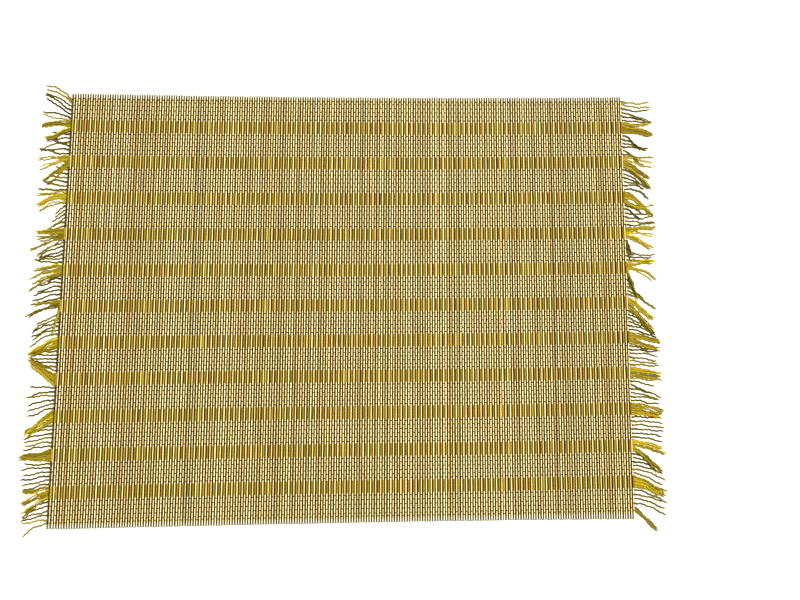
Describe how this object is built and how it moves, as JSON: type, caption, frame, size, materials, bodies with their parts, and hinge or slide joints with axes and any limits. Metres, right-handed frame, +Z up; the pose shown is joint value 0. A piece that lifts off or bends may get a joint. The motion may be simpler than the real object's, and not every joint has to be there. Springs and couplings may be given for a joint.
{
  "type": "woven slat placemat",
  "caption": "Flat rectangular placemat of thin wooden slats side by side, held by cross threads in golden bands and thin lines, with a loose thread fringe at both short edges.",
  "frame": {"origin": "on the table under the middle of the mat and its fringes", "axes": "+X along the threads towards the right fringe, +Y along the slats towards the mat's upper edge, +Z up from the table"},
  "size_m": [0.4838, 0.3409, 0.0023],
  "materials": {
    "slats": "smooth pale split wood with a satin surface, each slat slightly different from cream to straw and light brown",
    "warp_thread": "matte twisted cotton in golden olive"
  },
  "bodies": {
    "root": {"slat_panel": "slats", "warp_band_01": "warp_thread", "warp_band_02": "warp_thread", "warp_band_03": "warp_thread", "warp_band_04": "warp_thread", "warp_band_05": "warp_thread", "warp_band_06": "warp_thread", "warp_band_07": "warp_thread", "warp_band_08": "warp_thread", "warp_band_09": "warp_thread", "warp_band_10": "warp_thread", "warp_band_11": "warp_thread", "fringe_left": "warp_thread", "fringe_right": "warp_thread"}
  },
  "joints": []
}
